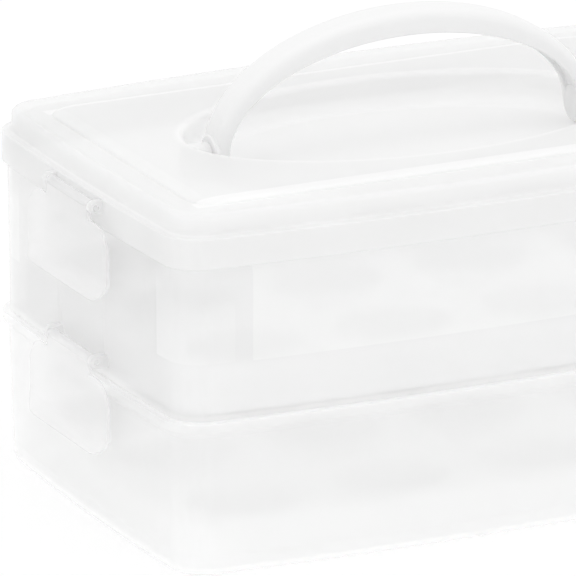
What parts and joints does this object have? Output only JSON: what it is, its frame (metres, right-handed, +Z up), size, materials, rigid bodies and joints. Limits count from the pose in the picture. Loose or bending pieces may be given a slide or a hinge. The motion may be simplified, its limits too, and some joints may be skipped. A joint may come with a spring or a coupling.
{
  "type": "deviled egg carrier",
  "caption": "Stacking egg carrier of frosted plastic: layers with cavity trays, a bowed rectangular body, end latches and a lid with a folding arched handle.",
  "frame": {"origin": "centre of the base, on the surface that the carrier stands on", "axes": "+X along the length, +Y to the back, +Z up; the picture shows the -X end and the -Y side"},
  "size_m": [0.3844, 0.2436, 0.2487],
  "materials": {
    "clear": "frosted translucent",
    "tray_white": "satin",
    "handle_white": "satin",
    "latch_white": "satin"
  },
  "bodies": {
    "carrier": {"lower_box": "clear", "lower_egg_tray": "tray_white", "upper_box": "clear", "upper_egg_tray": "tray_white", "lid": "clear", "handle_recess": "clear"},
    "handle": {"carry_handle": "handle_white"},
    "lid_latch_left_body": {"lid_latch_left": "latch_white"},
    "lid_latch_right_body": {"lid_latch_right": "latch_white"},
    "layer_latch_left_body": {"layer_latch_left": "latch_white"},
    "layer_latch_right_body": {"layer_latch_right": "latch_white"}
  },
  "joints": [
    {"name": "handle_fold", "type": "hinge", "parent": "carrier", "child": "handle", "pos_m": [0, 0, 0.1842], "axis": [1, 0, 0], "range_deg": [-90, 90]},
    {"name": "lid_latch_left_turn", "type": "hinge", "parent": "carrier", "child": "lid_latch_left_body", "pos_m": [-0.1844, 0, 0.1739], "axis": [0, 1, 0], "range_deg": [0, 120]},
    {"name": "lid_latch_right_turn", "type": "hinge", "parent": "carrier", "child": "lid_latch_right_body", "pos_m": [0.1844, 0, 0.1739], "axis": [0, -1, 0], "range_deg": [0, 120]},
    {"name": "layer_latch_left_turn", "type": "hinge", "parent": "carrier", "child": "layer_latch_left_body", "pos_m": [-0.1844, 0, 0.0923], "axis": [0, 1, 0], "range_deg": [0, 120]},
    {"name": "layer_latch_right_turn", "type": "hinge", "parent": "carrier", "child": "layer_latch_right_body", "pos_m": [0.1844, 0, 0.0923], "axis": [0, -1, 0], "range_deg": [0, 120]}
  ]
}
